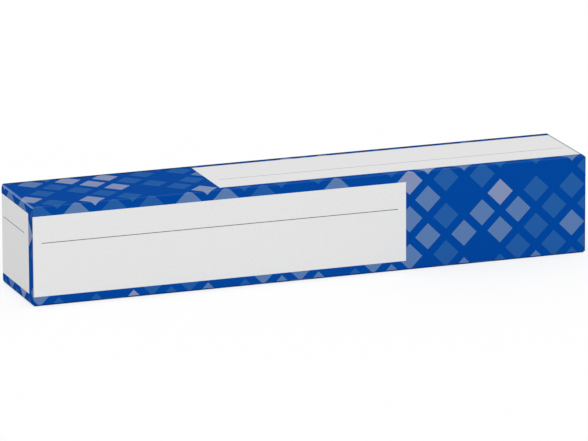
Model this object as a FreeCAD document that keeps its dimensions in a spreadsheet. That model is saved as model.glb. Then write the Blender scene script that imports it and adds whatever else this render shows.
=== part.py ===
# A long carton of printed board that holds a roll of kitchen foil, closed and glued shut.
# It is one solid, because nothing shows what is inside. Lengths are in millimetres.
# X runs along the carton, the front faces -Y and Z is up, with the base on Z = 0.
import FreeCAD, Part
import os
import Sketcher

# Each driving size: its name, its value and what it measures on the carton
SIZES = [
    ("carton_length", 311.0, "outside of one end's ear to outside of the other"),
    ("carton_depth", 54.0, "face of the front flap to face of the back wall"),
    ("carton_height", 53.7, "table to top of the lid"),
    ("board", 0.5, "thickness of the folded board"),
    ("fold_radius", 0.6, "outside radius where the board turns a corner"),
    ("flap_clearance", 0.9, "table to the lower cut edge of the flap and its ears"),
    ("ear_inset", 0.8, "face of the back to an ear's back cut edge"),
    ("ear_drop", 0.7, "top of the lid to an ear's upper cut edge"),
    ("ear_radius", 1.5, "rounding of an ear's two free corners"),
    ("trim_margin", 5.0, "how far a trimming outline reaches past the carton"),
]

# Places on the carton, worked out from those sizes
END = "sizes.carton_length / 2"
WRAP_END = "(sizes.carton_length / 2 - sizes.board)"
BACK = "sizes.carton_depth / 2"
EAR_BACK = "(sizes.carton_depth / 2 - sizes.ear_inset)"
EAR_TOP = "(sizes.carton_height - sizes.ear_drop)"
TRAY_FRONT = "-(sizes.carton_depth / 2 - sizes.board)"
TOP = "sizes.carton_height"
FLAP_FOOT = "sizes.flap_clearance"
MARGIN = "sizes.trim_margin"
FOLD = "sizes.fold_radius"
EAR_CORNER = "sizes.ear_radius"
SHARP = None

doc = FreeCAD.newDocument("foil_carton_model")
sheet = doc.addObject("Spreadsheet::Sheet", "sizes")
for row, (name, value, meaning) in enumerate(SIZES, start=1):
    sheet.set(f"A{row}", name)
    sheet.set(f"B{row}", str(value))
    sheet.setAlias(f"B{row}", name)
    sheet.set(f"C{row}", meaning)
doc.recompute()


def new_sketch(body, plane, name):
    """An empty sketch on one of the body's own origin planes."""
    sketch = body.newObject("Sketcher::SketchObject", name)
    support = next(f for f in body.Origin.OriginFeatures if f.Role == plane)
    sketch.AttachmentSupport = [(support, "")]
    sketch.MapMode = "FlatFace"
    return sketch


def bind(sketch, expression, *constraint):
    """Adds a constraint whose value follows an expression of the sheet's sizes."""
    value = sheet.evalExpression(expression)
    index = sketch.addConstraint(Sketcher.Constraint(*constraint, value))
    sketch.setExpression(f"Constraints[{index}]", expression)


def add_outline(sketch, corners):
    """A closed outline of level and upright sides, anticlockwise through its corners.

    A corner is (across, up, radius), each an expression. A SHARP one has no radius.
    """
    at = [
        FreeCAD.Vector(sheet.evalExpression(across), sheet.evalExpression(up), 0)
        for across, up, _ in corners
    ]
    radii = [sheet.evalExpression(radius) if radius else 0.0 for *_, radius in corners]
    count = len(corners)
    sides, begins, finishes = [], [], []
    for i in range(count):
        following = (i + 1) % count
        along = (at[following] - at[i]).normalize()
        begins.append(at[i] + along * radii[i])
        finishes.append(at[following] - along * radii[following])
        sides.append(sketch.addGeometry(Part.LineSegment(begins[i], finishes[i]), False))

    for i, (across, up, radius) in enumerate(corners):
        level = abs(begins[i].y - finishes[i].y) < abs(begins[i].x - finishes[i].x)
        sketch.addConstraint(Sketcher.Constraint("Horizontal" if level else "Vertical", sides[i]))
        if level:
            bind(sketch, up, "DistanceY", -1, 1, sides[i], 1)
        else:
            bind(sketch, across, "DistanceX", -1, 1, sides[i], 1)
        if radius is SHARP:
            sketch.addConstraint(Sketcher.Constraint("Coincident", sides[i - 1], 2, sides[i], 1))
            continue
        centre = finishes[i - 1] + begins[i] - at[i]
        middle = centre + (at[i] - centre).normalize() * radii[i]
        arc = sketch.addGeometry(Part.Arc(finishes[i - 1], middle, begins[i]), False)
        sketch.addConstraint(Sketcher.Constraint("Tangent", sides[i - 1], 2, arc, 1))
        sketch.addConstraint(Sketcher.Constraint("Tangent", arc, 2, sides[i], 1))
        bind(sketch, radius, "Radius", arc)


def box_corners(half_width, low, high, low_radius, high_radius):
    """The corners of an upright box about the middle, with two sizes of rounding."""
    return [
        (f"-{half_width}", low, low_radius),
        (half_width, low, low_radius),
        (half_width, high, high_radius),
        (f"-{half_width}", high, high_radius),
    ]


def extrude(body, kind, name, sketch, length=None):
    """A pad or a pocket, as far to one side of its sketch as to the other."""
    feature = body.newObject(f"PartDesign::{kind}", name)
    feature.Profile = sketch
    feature.SideType = "Symmetric"
    if length is None:
        feature.Type = "ThroughAll"
    else:
        feature.setExpression("Length", length)
    sketch.Visibility = False
    doc.recompute()
    return feature


def trim_to(body, plane, name, kept, half_width, low, high):
    """Cuts off what lies outside the kept outline, seen square to the plane."""
    sketch = new_sketch(body, plane, name + "_outline")
    add_outline(sketch, box_corners(half_width, low, high, SHARP, SHARP))
    add_outline(sketch, kept)
    extrude(body, "Pocket", name, sketch)


carton = doc.addObject("PartDesign::Body", "foil_carton")
carton.Label = "foil_carton"

# One sheet goes round as bottom, back, lid and front flap. The flap lies on the tray's
# front and stops above the table, so the tray shows as a lower step of one board.
section = new_sketch(carton, "YZ_Plane", "wrap_section")
add_outline(
    section,
    [
        (TRAY_FRONT, "0", FOLD),
        (BACK, "0", FOLD),
        (BACK, TOP, FOLD),
        (f"-{BACK}", TOP, FOLD),
        (f"-{BACK}", FLAP_FOOT, SHARP),
        (TRAY_FRONT, FLAP_FOOT, SHARP),
    ],
)
extrude(carton, "Pad", "wrap", section, f"2 * {WRAP_END}")

# Upright folds, where the front and the back turn onto the ends
trim_to(
    carton,
    "XY_Plane",
    "upright_folds",
    box_corners(WRAP_END, f"-{BACK}", BACK, FOLD, FOLD),
    f"({WRAP_END} + {MARGIN})",
    f"-({BACK} + {MARGIN})",
    f"{BACK} + {MARGIN}",
)

# Level folds along the top and the foot of each end
trim_to(
    carton,
    "XZ_Plane",
    "level_folds",
    box_corners(WRAP_END, "0", TOP, FOLD, FOLD),
    f"({WRAP_END} + {MARGIN})",
    f"-{MARGIN}",
    f"{TOP} + {MARGIN}",
)

# The front flap has an ear at each end, turned back over the end and glued, so it stands
# one board proud. Its other three edges are cut, with the two free corners rounded.
ear_outline = new_sketch(carton, "YZ_Plane", "ear_outline")
add_outline(
    ear_outline,
    [
        (f"-{BACK}", FLAP_FOOT, SHARP),
        (EAR_BACK, FLAP_FOOT, EAR_CORNER),
        (EAR_BACK, EAR_TOP, EAR_CORNER),
        (f"-{BACK}", EAR_TOP, SHARP),
    ],
)
extrude(carton, "Pad", "ears", ear_outline, f"2 * {END}")

# The fold from the front flap into each ear. Behind the carton this outline keeps clear.
trim_to(
    carton,
    "XY_Plane",
    "ear_folds",
    [
        (f"-{END}", f"-{BACK}", FOLD),
        (END, f"-{BACK}", FOLD),
        (END, f"{BACK} + {MARGIN} / 2", SHARP),
        (f"-{END}", f"{BACK} + {MARGIN} / 2", SHARP),
    ],
    f"({END} + {MARGIN})",
    f"-({BACK} + {MARGIN})",
    f"{BACK} + {MARGIN}",
)
doc.recompute()

for item in doc.Objects:
    if {"Invalid", "Error"} & set(item.State):
        raise SystemExit(f"{item.Name} failed: {item.State}")
    if item.isDerivedFrom("Sketcher::SketchObject") and item.solve() != 0:
        raise SystemExit(f"{item.Name} can't be solved")
if carton.Shape.isNull() or not carton.Shape.isValid() or len(carton.Shape.Solids) != 1:
    raise SystemExit("foil_carton isn't one valid solid")

box = carton.Shape.BoundBox
print(f"foil_carton {box.XLength:.2f} x {box.YLength:.2f} x {box.ZLength:.2f} mm,", end=" ")
print(f"{carton.Shape.Volume / 1000:.1f} cm3, {len(carton.Shape.Faces)} faces")
os.makedirs("parts", exist_ok=True)
carton.Shape.exportStep(f"parts/{carton.Label}.step")
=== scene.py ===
# %% [markdown]
# # A carton of kitchen foil
# The object is a long square carton of printed board, glued shut over its roll. It stands on
# a pale table, seen from in front, a little above and a little to the left. One mesh makes
# the carton, and all of its detail is print, folds and cut edges. Every length here is in
# millimetres until the mesh is finished, because a carton is drawn that way.

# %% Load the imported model
import math
import bmesh
import bpy
from mathutils import Matrix, Vector


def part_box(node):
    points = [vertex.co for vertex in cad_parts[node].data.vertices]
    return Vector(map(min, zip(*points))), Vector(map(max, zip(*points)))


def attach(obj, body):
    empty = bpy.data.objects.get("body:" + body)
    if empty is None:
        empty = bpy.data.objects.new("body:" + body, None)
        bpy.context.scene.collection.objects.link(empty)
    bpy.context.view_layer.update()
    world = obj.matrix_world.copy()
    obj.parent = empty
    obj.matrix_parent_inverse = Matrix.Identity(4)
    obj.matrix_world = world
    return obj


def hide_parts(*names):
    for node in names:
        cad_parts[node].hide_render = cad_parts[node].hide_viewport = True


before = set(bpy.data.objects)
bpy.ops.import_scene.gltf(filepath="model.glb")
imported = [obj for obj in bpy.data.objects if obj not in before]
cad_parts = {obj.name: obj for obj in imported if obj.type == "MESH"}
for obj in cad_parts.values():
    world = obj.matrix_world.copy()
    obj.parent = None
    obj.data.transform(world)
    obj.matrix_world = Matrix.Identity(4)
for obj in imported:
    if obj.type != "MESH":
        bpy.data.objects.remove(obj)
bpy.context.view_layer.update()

MM = 0.001
low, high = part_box("foil_carton")
LENGTH, DEPTH, HEIGHT = ((high - low) / MM)[:]
print(f"carton {LENGTH:.1f} x {DEPTH:.1f} x {HEIGHT:.1f} mm")

# %% [markdown]
# ## The camera
# The photograph was taken with a very long lens from far away, so the carton's long edges
# hardly converge. The place and the lens come from a pinhole camera fitted to the corners of
# the carton. The roll is the small tilt that remains when the carton's uprights are set
# against the frame. Blender's camera looks down its own -Z, so it is first tipped up, then
# turned round the upright axis.

# %% Place the camera
TURN = math.radians(19.812)
DOWN = math.radians(14.605)
ROLL = math.radians(0.279)
DISTANCE = 3451.26
AIM = Vector((-0.90, 0.55, 25.6))
FOCAL_PIXELS = 6482.5
PHOTO_WIDTH = 588
SENSOR_WIDTH = 36.0
SIGHT_END = 20.0

camera_data = bpy.data.cameras.new("camera")
camera_data.sensor_width = SENSOR_WIDTH
camera_data.lens = FOCAL_PIXELS * SENSOR_WIDTH / PHOTO_WIDTH
camera_data.clip_end = SIGHT_END
camera = bpy.data.objects.new("camera", camera_data)
bpy.context.scene.collection.objects.link(camera)
turned = (
    Matrix.Rotation(-TURN, 4, "Z")
    @ Matrix.Rotation(math.pi / 2 - DOWN, 4, "X")
    @ Matrix.Rotation(-ROLL, 4, "Z")
)
sight = turned.to_3x3() @ Vector((0, 0, -1))
camera.matrix_world = Matrix.Translation((AIM - sight * DISTANCE) * MM) @ turned
bpy.context.scene.camera = camera
print(f"lens {camera_data.lens:.1f} mm, camera at {camera.matrix_world.translation[:]}")

# %% [markdown]
# ## The board round the roll
# The carton is one sheet of board folded round in a square: base, back, lid and a front flap
# that hangs down over the tray's front. A cube with its edges bevelled has just the rounded
# folds that scored board makes, and it is closed, one clean skin.

# %% Fold the square sleeve
BOARD = 0.5
FOLD = 0.6
FOLD_STEPS = 4
SLEEVE_END = LENGTH / 2 - BOARD


def round_off(edges, radius, steps):
    """Rounds the carton's edges to a radius, in a number of flat steps."""
    bmesh.ops.bevel(
        shell,
        geom=edges,
        offset=radius,
        segments=steps,
        profile=0.5,
        affect="EDGES",
        material=-1,
    )


shell = bmesh.new()
bmesh.ops.create_cube(shell, size=1.0)
bmesh.ops.scale(shell, vec=(2 * SLEEVE_END, DEPTH, HEIGHT), verts=shell.verts)
bmesh.ops.translate(shell, vec=(0, 0, HEIGHT / 2), verts=shell.verts)
round_off(shell.edges[:], FOLD, FOLD_STEPS)
print(f"sleeve of {len(shell.faces)} faces")

# %% [markdown]
# ## The step under the flap
# The front flap stops a little above the table, and the tray's own front shows below it, set
# back by the thickness of the board. Two cuts a hair apart go round the front. What lies
# under the lower one moves back by one board, which leaves the flap's cut edge between them.
# Faces are picked by where their middle is and by which way they face. A part of the normal
# that is smaller than the tilt counts as none.


# %% Cut the front and set the tray back
TILT = 0.02
SAME_PLACE = 1e-4


def cut(place, facing, wanted):
    """Cuts the faces that pass the test along a plane through a place."""
    faces = [face for face in shell.faces if wanted(face.calc_center_median(), face.normal)]
    edges = {edge for face in faces for edge in face.edges}
    corners = {corner for face in faces for corner in face.verts}
    bmesh.ops.bisect_plane(
        shell,
        geom=faces + list(edges) + list(corners),
        dist=SAME_PLACE,
        plane_co=place,
        plane_no=facing,
    )


def cut_level(height, wanted):
    """Cuts the faces that pass the test along a level line."""
    cut((0, 0, height), (0, 0, 1), wanted)


FLAP_FOOT = 0.9
HAIR = 0.01
FRONT = -DEPTH / 2


def on_front_and_folds(middle, normal):
    """True on the flap and on the two upright folds beside it."""
    return middle.y < FRONT + FOLD and abs(normal.z) < TILT


cut_level(FLAP_FOOT, on_front_and_folds)
cut_level(FLAP_FOOT - HAIR, on_front_and_folds)
tray_corners = [
    corner
    for corner in shell.verts
    if corner.co.y < FRONT + FOLD + HAIR and corner.co.z < FLAP_FOOT - HAIR / 2
]
bmesh.ops.translate(shell, vec=(0, BOARD, 0), verts=tray_corners)
print(f"tray set back at {len(tray_corners)} corners")

# %% [markdown]
# ## The ears
# At each end the front flap turns the corner as an ear, which is glued over the end wall. It
# stands proud by one board, and it carries the end's print. The wall is cut to the ear's
# outline, and that region is extruded outwards together with the upright fold beside it, so
# the flap and its ear stay one unbroken sheet.

# %% Raise the two ears
EAR_INSET = 0.8
EAR_DROP = 0.7
EAR_BACK = DEPTH / 2 - EAR_INSET
EAR_TOP = HEIGHT - EAR_DROP


def on_end_wall(middle, normal):
    """True on the flat of either end."""
    return abs(normal.y) < TILT and abs(normal.z) < TILT


def in_ear(middle, normal):
    """True on an end wall or its front fold, within the ear's outline."""
    upright = abs(normal.z) < TILT < abs(normal.x)
    return upright and middle.y < EAR_BACK and middle.z > FLAP_FOOT - HAIR / 4


cut((0, EAR_BACK, 0), (0, 1, 0), on_end_wall)
cut_level(FLAP_FOOT, lambda middle, normal: on_end_wall(middle, normal) and middle.y < EAR_BACK)
cut_level(EAR_TOP, in_ear)
for side in (-1, 1):
    ear = [
        face
        for face in shell.faces
        if in_ear(face.calc_center_median(), face.normal)
        and face.calc_center_median().x * side > 0
        and face.calc_center_median().z < EAR_TOP
    ]
    raised = bmesh.ops.extrude_face_region(shell, geom=ear)
    moved = [item for item in raised["geom"] if isinstance(item, bmesh.types.BMVert)]
    bmesh.ops.translate(shell, vec=(side * BOARD, 0, 0), verts=moved)
    bmesh.ops.delete(shell, geom=ear, context="FACES")
    print(f"ear of {len(ear)} faces on side {side}")

# %% [markdown]
# The ear's two free corners are rounded by the die that cuts the board. The cuts on the wall
# ran on past the ear, and those stray edges are dissolved first, so each corner is a plain
# meeting of three faces that the bevel can round.

# %% Round the ears' free corners
EAR_CORNER = 1.5
EAR_CORNER_STEPS = 5
NEAR = 1e-3

stray = [
    edge
    for edge in shell.edges
    if all(abs(abs(end.co.x) - SLEEVE_END) < NEAR for end in edge.verts)
    and all(abs(end.co.y - EAR_BACK) < NEAR for end in edge.verts)
    and not FLAP_FOOT < sum(end.co.z for end in edge.verts) / 2 < EAR_TOP
]
bmesh.ops.dissolve_edges(shell, edges=stray, use_verts=True)
free_corners = [
    edge
    for edge in shell.edges
    if abs(edge.calc_length() - BOARD) < NEAR
    and all(abs(end.co.y - EAR_BACK) < NEAR for end in edge.verts)
]
round_off(free_corners, EAR_CORNER, EAR_CORNER_STEPS)
open_edges = sum(not edge.is_manifold for edge in shell.edges)
print(f"{len(free_corners)} corners rounded, {open_edges} open edges")

# %% [markdown]
# ## Cut board and printed board
# Wherever the board is cut, its inner plies show as a line half a millimetre wide.
# Those faces get a second material. Edges that turn sharply are marked, so that the cut
# edges stay crisp while the folds shade as smooth curves.

# %% Sort the faces into print and cut edge
PRINTED, CUT = 0, 1
SHARP_TURN = math.radians(30)


def is_cut(middle, normal):
    """True on the cut edges of the flap and of its ears."""
    level = 1 - abs(normal.z) < TILT
    at_cut = min(abs(middle.z - FLAP_FOOT), abs(middle.z - EAR_TOP)) < HAIR
    on_ear = abs(middle.x) > SLEEVE_END + HAIR and middle.y > 0
    return (level and at_cut) or (on_ear and abs(normal.x) < TILT)


shell.normal_update()
for face in shell.faces:
    face.smooth = True
    face.material_index = CUT if is_cut(face.calc_center_median(), face.normal) else PRINTED
for edge in shell.edges:
    edge.smooth = edge.calc_face_angle(0.0) < SHARP_TURN
cut_faces = sum(face.material_index == CUT for face in shell.faces)
print(f"{len(shell.faces)} faces, {cut_faces} of them cut edge")

# %% [markdown]
# ## The flat sheet
# A carton is printed flat and folded afterwards, so its print runs on round the folds. A UV
# map in millimetres gives that flat sheet back. U runs along the carton and on into the
# ears. V is 0 along the middle of the lid, falls over the front and rises over the back and
# under the base. A fold is measured by how far it goes across and down, which stretches the
# print there by less than half a millimetre.

# %% Unfold the carton into a UV map
def flat_place(at, middle, normal):
    """Where a point of the carton lies on its flat sheet."""
    side = math.copysign(1.0, at.x)
    drop = HEIGHT - at.z
    under = normal.z < -TILT or (middle.y < 0 and middle.z < FLAP_FOOT)
    from_base = DEPTH + HEIGHT - at.y + math.copysign(at.z, -middle.y)
    if abs(normal.x) < TILT:
        return at.x, from_base if under else at.y - math.copysign(drop, -middle.y)
    if abs(normal.z) > TILT:
        return side * (abs(at.x) + min(drop, at.z)), from_base if under else at.y
    if normal.y > TILT:
        return side * (abs(at.x) + DEPTH / 2 - at.y), DEPTH / 2 + drop
    return side * (abs(at.x) + DEPTH / 2 + at.y), -DEPTH / 2 - drop


flat_sheet = shell.loops.layers.uv.new("flat_sheet")
for face in shell.faces:
    middle = face.calc_center_median()
    for loop in face.loops:
        loop[flat_sheet].uv = flat_place(loop.vert.co, middle, face.normal)
reach_v = [loop[flat_sheet].uv.y for face in shell.faces for loop in face.loops]
print(f"flat sheet runs {min(reach_v):.1f} to {max(reach_v):.1f} mm round the carton")

# %% [markdown]
# ## Finish the mesh
# The mesh is scaled to metres and becomes the piece that stands for the CAD carton. Weighted
# normals let the large flat panels decide the shading beside each fold, so no panel looks
# swollen.

# %% Make the carton's object
bmesh.ops.scale(shell, vec=(MM, MM, MM), verts=shell.verts)
bmesh.ops.recalc_face_normals(shell, faces=shell.faces)
carton_mesh = bpy.data.meshes.new("carton")
shell.to_mesh(carton_mesh)
shell.free()
carton = bpy.data.objects.new("carton", carton_mesh)
bpy.context.scene.collection.objects.link(carton)
even_shading = carton.modifiers.new("even_shading", "WEIGHTED_NORMAL")
even_shading.keep_sharp = True
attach(carton, "root")
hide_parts("foil_carton")
print(f"carton of {len(carton_mesh.polygons)} faces")

# %% [markdown]
# ## Colours and nodes
# Colours are written as they would be on a screen, and one function turns them into the
# linear values that the shader works in. One more function adds a node with its settings and
# its links, and every material below is built with it.


# %% Two helpers for materials
def linear(colour):
    """A hex colour as linear red, green, blue and an alpha of 1."""
    parts = [int(colour[i : i + 2], 16) / 255 for i in (1, 3, 5)]
    return [c / 12.92 if c <= 0.04045 else ((c + 0.055) / 1.055) ** 2.4 for c in parts] + [1.0]


def add_node(tree, kind, inputs=None, **settings):
    """Adds a node. Each input is given a value, or an earlier node's output to link from."""
    node = tree.nodes.new(kind)
    for name, value in settings.items():
        setattr(node, name, value)
    for key, value in (inputs or {}).items():
        if isinstance(value, bpy.types.NodeSocket):
            tree.links.new(value, node.inputs[key])
        else:
            node.inputs[key].default_value = value
    return node


def new_material(name):
    """An empty material, with its node tree."""
    material = bpy.data.materials.new(name)
    material.use_nodes = True
    material.node_tree.nodes.clear()
    return material, material.node_tree


# %% [markdown]
# ## Printed board
# The real thing is coated cartonboard, printed by offset and sealed with a matt water varnish.
# The coating hides the fibres almost wholly, the ink lies a little unevenly, and the varnish
# takes nearly all of the gloss, so the blue stays deep from every side. The print has three
# layers: a blue ground, a lattice of turned squares in three tints of it, and bare label
# fields with one thin rule each.
#
# The lattice is a common one. The flat sheet is turned by 45 degrees and divided by the pitch.
# The whole part of that number names a cell and its fraction is the place inside the cell.
# White noise on the cell's name picks its tint, and a few cells stay empty. The shift is in
# cells, and it sets the squares well across the folds.

# %% Start the print with the flat sheet and its lattice
print_material, tree = new_material("offset_printed_coated_board")
sheet_uv = add_node(tree, "ShaderNodeUVMap", uv_map="flat_sheet").outputs["UV"]

PITCH = 14.6
SQUARE = 10.2
LATTICE_SHIFT = (3.3, 2.42, 0)

turned_sheet = add_node(
    tree,
    "ShaderNodeMapping",
    {
        "Vector": sheet_uv,
        "Location": LATTICE_SHIFT,
        "Rotation": (0, 0, math.radians(45)),
        "Scale": (1 / PITCH, 1 / PITCH, 1),
    },
).outputs["Vector"]
cell = add_node(tree, "ShaderNodeVectorMath", {0: turned_sheet}, operation="FLOOR").outputs[0]
inside = add_node(tree, "ShaderNodeVectorMath", {0: turned_sheet}, operation="FRACTION").outputs[0]
inside_axes = add_node(tree, "ShaderNodeSeparateXYZ", {0: inside}).outputs
half_square = SQUARE / PITCH / 2
in_square = [
    add_node(
        tree, "ShaderNodeMath", {0: axis, 1: 0.5, 2: half_square}, operation="COMPARE"
    ).outputs[0]
    for axis in inside_axes[:2]
]
square = add_node(
    tree, "ShaderNodeMath", {0: in_square[0], 1: in_square[1]}, operation="MULTIPLY"
).outputs[0]
print(f"squares of {SQUARE} mm every {PITCH} mm")

# %% Choose a tint for each square
GROUND = linear("#02469C")
TINTS = [(0.0, "#02469C"), (0.20, "#245BA1"), (0.60, "#5A7AAC"), (0.84, "#8390B4")]

draw = add_node(tree, "ShaderNodeTexWhiteNoise", {"Vector": cell}, noise_dimensions="3D")
tint = add_node(tree, "ShaderNodeValToRGB", {"Fac": draw.outputs["Value"]})
tint.color_ramp.interpolation = "CONSTANT"
while len(tint.color_ramp.elements) < len(TINTS):
    tint.color_ramp.elements.new(0.5)
for stop, (position, colour) in zip(tint.color_ramp.elements, TINTS):
    stop.position = position
    stop.color = linear(colour)
pattern = add_node(
    tree,
    "ShaderNodeMix",
    {0: square, 6: GROUND, 7: tint.outputs["Color"]},
    data_type="RGBA",
).outputs[2]
print(f"{len(TINTS)} tints")

# %% [markdown]
# A field or a rule is a rectangle on the flat sheet. A compare node is 1 where a value lies
# within a given distance of another, so two of them multiplied give one rectangle, and the
# largest of several rectangles joins them. Each is given by its lowest and highest U and V.
# The fields on the front, the lid and the left end are where the photograph shows them. The
# back has one like the front's, and the right end mirrors the left.

# %% Draw the bare label fields and their rules
HALF_LENGTH, HALF_DEPTH = LENGTH / 2, DEPTH / 2
RULE = 0.4
sheet_axes = add_node(tree, "ShaderNodeSeparateXYZ", {0: sheet_uv}).outputs


def largest(masks):
    """The largest of several masks at each point."""
    joined = masks[0]
    for mask in masks[1:]:
        joined = add_node(
            tree, "ShaderNodeMath", {0: joined, 1: mask}, operation="MAXIMUM"
        ).outputs[0]
    return joined


def rectangle(u_low, u_high, v_low, v_high):
    """A mask that is 1 inside a rectangle of the flat sheet."""
    spans = [(sheet_axes[0], u_low, u_high), (sheet_axes[1], v_low, v_high)]
    within = [
        add_node(
            tree,
            "ShaderNodeMath",
            {0: axis, 1: (start + stop) / 2, 2: (stop - start) / 2},
            operation="COMPARE",
        ).outputs[0]
        for axis, start, stop in spans
    ]
    return add_node(
        tree, "ShaderNodeMath", {0: within[0], 1: within[1]}, operation="MULTIPLY"
    ).outputs[0]


def rule(u_low, u_high, v_place):
    """The rectangle of a thin rule along the carton."""
    return u_low, u_high, v_place - RULE / 2, v_place + RULE / 2


def mirrored(box):
    """The same rectangle at the other end of the sheet."""
    return -box[1], -box[0], *box[2:]


FRONT_FIELD = (-HALF_LENGTH, 52.4, -HALF_DEPTH - 48.5, -HALF_DEPTH - 5.3)
LID_FIELD = (-50.6, HALF_LENGTH + 4.5, -22.7, 22.5)
BACK_FIELD = (-HALF_LENGTH - 4.5, 52.5, HALF_DEPTH + 4.9, HALF_DEPTH + 48.3)
LEFT_FIELD = (-HALF_LENGTH - 56.0, -HALF_LENGTH - 7.0, -HALF_DEPTH - 48.3, -HALF_DEPTH - 5.0)
FRONT_RULE = rule(-150.5, 47.8, -HALF_DEPTH - 19.8)
LID_RULE = rule(-45.5, 150.5, -6.3)
LEFT_RULE = rule(-205.5, -170.0, -HALF_DEPTH - 17.1)
FIELDS = [FRONT_FIELD, LID_FIELD, BACK_FIELD, LEFT_FIELD, mirrored(LEFT_FIELD)]
RULES = [FRONT_RULE, LID_RULE, LEFT_RULE, mirrored(LEFT_RULE)]
LABEL = linear("#E4E4E4")
RULE_INK = linear("#66686B")

in_field = largest([rectangle(*box) for box in FIELDS])
on_rule = largest([rectangle(*box) for box in RULES])
labelled = add_node(
    tree, "ShaderNodeMix", {0: in_field, 6: pattern, 7: LABEL}, data_type="RGBA"
).outputs[2]
ruled = add_node(
    tree, "ShaderNodeMix", {0: on_rule, 6: labelled, 7: RULE_INK}, data_type="RGBA"
).outputs[2]
print(f"{len(FIELDS)} fields and {len(RULES)} rules drawn")

# %% [markdown]
# On the flat sheet every crease is a straight line, so the folds' light and shade is painted
# there. Across the left end of the lid a pale blue painted highlight runs along the crease,
# and along the lid's front a faint painted highlight is just paler than the print. The other
# creases, and the feet of the back and front, get painted shade, darker where they turn away
# from the light. Each crease is given by its place, how far its painted light or shade reaches
# and how strong it is.

# %% Paint light and shade along the creases
LID_FRONT, LID_BACK = -HALF_DEPTH, HALF_DEPTH
BACK_FOOT = LID_BACK + HEIGHT
FRONT_FOOT = BACK_FOOT + DEPTH
LID_ENDS = (-HALF_LENGTH - 1, HALF_LENGTH + 1, LID_FRONT, LID_BACK)
UPRIGHTS = (-HALF_LENGTH - 1, HALF_LENGTH + 1, LID_FRONT - HEIGHT, LID_FRONT)


def crease(axis, place, reach, strength, within=None):
    """A soft line of painted light or shade on the flat sheet, strongest at its place and gone at
    its reach.
    """
    away = add_node(tree, "ShaderNodeMath", {0: axis, 1: place}, operation="SUBTRACT").outputs[0]
    away = add_node(tree, "ShaderNodeMath", {0: away}, operation="ABSOLUTE").outputs[0]
    line = add_node(
        tree,
        "ShaderNodeMapRange",
        {"Value": away, "From Max": reach, "To Min": strength, "To Max": 0.0},
        interpolation_type="SMOOTHSTEP",
    ).outputs["Result"]
    if within is None:
        return line
    return add_node(
        tree, "ShaderNodeMath", {0: line, 1: rectangle(*within)}, operation="MULTIPLY"
    ).outputs[0]


along, round_about = sheet_axes[:2]
# Painted highlight: these lines lighten the lid's front crease and the crease at its left end.
painted_highlight_creases = [
    crease(round_about, LID_FRONT, 0.7, 0.04),
    crease(along, -SLEEVE_END - 0.2, 0.45, 0.5, LID_ENDS),
]
# Painted shade: these lines darken the creases that turn away from the light.
painted_shade_creases = [
    crease(round_about, LID_BACK - 1, 2.6, 0.75),
    crease(round_about, BACK_FOOT, 0.8, 0.4),
    crease(along, SLEEVE_END, 2.1, 0.85, LID_ENDS),
    crease(along, -HALF_LENGTH, 0.6, 0.35, UPRIGHTS),
    crease(along, HALF_LENGTH, 1.2, 0.5, UPRIGHTS),
    crease(round_about, FRONT_FOOT, 1.2, 0.5),
]
pale, dark = largest(painted_highlight_creases), largest(painted_shade_creases)
print(f"{len(painted_highlight_creases)} pale creases and {len(painted_shade_creases)} dark ones drawn")

# %% [markdown]
# Offset ink mottles softly over a millimetre or two, by a percent or two, and the painted
# highlight along the lid's left end is broken into fine flecks. Blender's noise seldom leaves
# the span from 0.3 to 0.7, so that span is stretched to the range that each finish needs.

# %% Mottle the ink and paint the creases' highlight and shade
MOTTLE_SIZE = 1.6
FLECK_SIZE = 0.5
NOISE_SPAN = {"From Min": 0.3, "From Max": 0.7}
# The pale blue of the painted highlight on the lid's left end crease.
CREASE_HIGHLIGHT = linear("#A9CBFA")

mottle = add_node(
    tree, "ShaderNodeTexNoise", {"Vector": sheet_uv, "Scale": 1 / MOTTLE_SIZE, "Detail": 3.0}
).outputs["Fac"]
ink_strength = add_node(
    tree,
    "ShaderNodeMapRange",
    {"Value": mottle, **NOISE_SPAN, "To Min": 0.985, "To Max": 1.015},
).outputs["Result"]
# The painted shade of the dark creases darkens the print here, along with the ink's mottle.
unshaded = add_node(tree, "ShaderNodeMath", {0: 1.0, 1: dark}, operation="SUBTRACT").outputs[0]
shade = add_node(
    tree, "ShaderNodeMath", {0: ink_strength, 1: unshaded}, operation="MULTIPLY"
).outputs[0]
shaded = add_node(
    tree, "ShaderNodeVectorMath", {0: ruled, 3: shade}, operation="SCALE"
).outputs[0]
flecks = add_node(
    tree, "ShaderNodeTexNoise", {"Vector": sheet_uv, "Scale": 1 / FLECK_SIZE, "Detail": 2.0}
).outputs["Fac"]
highlight_flecks = add_node(
    tree,
    "ShaderNodeMapRange",
    {"Value": flecks, **NOISE_SPAN, "To Min": 0.7, "To Max": 1.1},
).outputs["Result"]
painted_highlight_mask = add_node(tree, "ShaderNodeMath", {0: pale, 1: highlight_flecks}, operation="MULTIPLY").outputs[0]
# The print, with the painted highlight and painted shade of the creases mixed into it.
print_with_painted_light = add_node(
    tree, "ShaderNodeMix", {0: painted_highlight_mask, 6: shaded, 7: CREASE_HIGHLIGHT}, data_type="RGBA"
).outputs[2]
print(f"mottle every {MOTTLE_SIZE} mm, flecks of {FLECK_SIZE} mm")

# %% [markdown]
# The board's fibres telegraph through the coating as a very low relief, about a quarter of a
# millimetre across. The varnish is matt, with roughness that varies a little with the ink.

# %% Give the print its relief and its matt varnish
FIBRE = 0.25
FIBRE_RELIEF = 0.004

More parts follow.
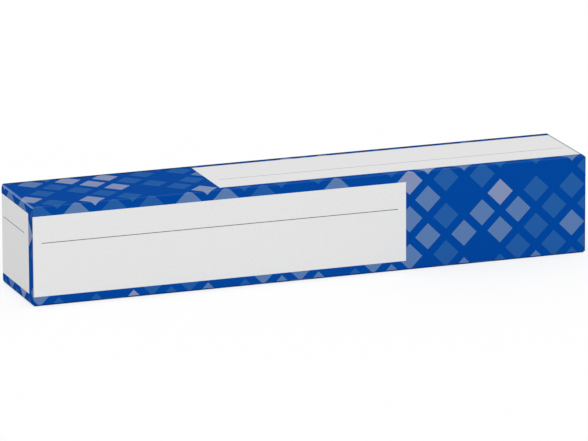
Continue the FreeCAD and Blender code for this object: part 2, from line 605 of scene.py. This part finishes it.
fibres = add_node(
    tree, "ShaderNodeTexNoise", {"Vector": sheet_uv, "Scale": 1 / FIBRE, "Detail": 2.0}
).outputs["Fac"]
relief = add_node(
    tree, "ShaderNodeBump", {"Height": fibres, "Distance": FIBRE_RELIEF * MM, "Strength": 0.6}
).outputs["Normal"]
satin = add_node(
    tree,
    "ShaderNodeMapRange",
    {"Value": mottle, **NOISE_SPAN, "To Min": 0.54, "To Max": 0.62},
).outputs["Result"]
board_shader = add_node(
    tree,
    "ShaderNodeBsdfPrincipled",
    {
        "Base Color": print_with_painted_light,
        "Roughness": satin,
        "Normal": relief,
        "IOR": 1.5,
        "Specular IOR Level": 0.002,
    },
)
add_node(tree, "ShaderNodeOutputMaterial", {"Surface": board_shader.outputs["BSDF"]})
carton_mesh.materials.append(print_material)
print(f"{len(tree.nodes)} nodes in the printed board")

# %% [markdown]
# ## Cut board edge
# Where the die has cut it, the board shows its inner plies. They are pale fibre, rough and
# without any varnish, and they are painted lighter and bluer than bare board as a painted
# highlight for the light that the thin edge catches.

# %% Make the cut edge
PLY_SIZE = 0.4
PLY_RELIEF = 0.02

cut_material, tree = new_material("cut_cartonboard_edge")
place = add_node(tree, "ShaderNodeTexCoord").outputs["Object"]
plies = add_node(
    tree, "ShaderNodeTexNoise", {"Vector": place, "Scale": 1 / (PLY_SIZE * MM), "Detail": 3.0}
).outputs["Fac"]
# Pale fibre with a painted highlight in it, lighter and bluer than bare board.
ply_colour_and_highlight = add_node(
    tree,
    "ShaderNodeMix",
    {0: plies, 6: linear("#6C9ADC"), 7: linear("#A9C8F0")},
    data_type="RGBA",
).outputs[2]
ply_relief = add_node(
    tree, "ShaderNodeBump", {"Height": plies, "Distance": PLY_RELIEF * MM}
).outputs["Normal"]
ply_shader = add_node(
    tree,
    "ShaderNodeBsdfPrincipled",
    {"Base Color": ply_colour_and_highlight, "Roughness": 0.9, "Normal": ply_relief, "Specular IOR Level": 0.2},
)
add_node(tree, "ShaderNodeOutputMaterial", {"Surface": ply_shader.outputs["BSDF"]})
carton_mesh.materials.append(cut_material)
print(f"{len(tree.nodes)} nodes in the cut edge")

# %% [markdown]
# ## The table
# The photograph has a pure white ground. The floor is white for the camera, partly by its own
# light, so that it meets the white world without a seam and still takes a soft shadow. For
# the light that bounces onto the carton it is plain matt white board.

# %% Lay the floor
FLOOR_SIZE = 6.0
GAP = 0.2 * MM
OWN_LIGHT = 0.7
WHITE = (1, 1, 1, 1)

floor_bm = bmesh.new()
bmesh.ops.create_grid(floor_bm, x_segments=1, y_segments=1, size=FLOOR_SIZE / 2)
bmesh.ops.translate(floor_bm, vec=(0, 0, -GAP), verts=floor_bm.verts)
floor_mesh = bpy.data.meshes.new("floor")
floor_bm.to_mesh(floor_mesh)
floor_bm.free()
floor = bpy.data.objects.new("floor", floor_mesh)
bpy.context.scene.collection.objects.link(floor)

floor_material, tree = new_material("matt_white_tabletop")
seen = add_node(tree, "ShaderNodeLightPath").outputs["Is Camera Ray"]
matt = add_node(tree, "ShaderNodeBsdfDiffuse", {"Color": (0.8, 0.8, 0.8, 1)}).outputs[0]
lit = add_node(tree, "ShaderNodeBsdfDiffuse", {"Color": WHITE}).outputs[0]
own = add_node(tree, "ShaderNodeEmission", {"Strength": 1.0}).outputs[0]
whitened = add_node(tree, "ShaderNodeMixShader", {0: OWN_LIGHT, 1: lit, 2: own}).outputs[0]
shown = add_node(tree, "ShaderNodeMixShader", {0: seen, 1: matt, 2: whitened}).outputs[0]
add_node(tree, "ShaderNodeOutputMaterial", {"Surface": shown})
floor_mesh.materials.append(floor_material)
print(f"floor {FLOOR_SIZE} m wide")

# %% [markdown]
# ## The light
# A studio tent: an even white world all round and one very soft sun from the front left, which
# makes the front the brightest face, the lid a little less bright and the end darkest.

# %% Light the carton
AMBIENT = 0.75
SUN_STRENGTH = 1.08
SUN_FROM = Vector((-0.252, -0.671, 0.697))
SUN_SPREAD = math.radians(35)

world = bpy.data.worlds.new("studio")
world.use_nodes = True
tree = world.node_tree
tree.nodes.clear()
path = add_node(tree, "ShaderNodeLightPath").outputs
shows = add_node(
    tree,
    "ShaderNodeMath",
    {0: path["Is Camera Ray"], 1: path["Is Glossy Ray"]},
    operation="MAXIMUM",
).outputs[0]
shows = add_node(
    tree, "ShaderNodeMath", {0: shows, 1: path["Is Transmission Ray"]}, operation="MAXIMUM"
).outputs[0]
level = add_node(
    tree, "ShaderNodeMapRange", {"Value": shows, "To Min": AMBIENT, "To Max": 1.0}
).outputs["Result"]
backdrop = add_node(tree, "ShaderNodeBackground", {"Color": WHITE, "Strength": level})
add_node(tree, "ShaderNodeOutputWorld", {"Surface": backdrop.outputs[0]})
bpy.context.scene.world = world

sun_data = bpy.data.lights.new("soft_sun", "SUN")
sun_data.energy = SUN_STRENGTH
sun_data.angle = SUN_SPREAD
sun = bpy.data.objects.new("soft_sun", sun_data)
sun.matrix_world = SUN_FROM.to_track_quat("Z", "Y").to_matrix().to_4x4()
bpy.context.scene.collection.objects.link(sun)
bpy.context.scene.view_settings.view_transform = "Standard"
print(f"ambient {AMBIENT}, sun {SUN_STRENGTH}")

# %% Finish
bpy.context.view_layer.update()
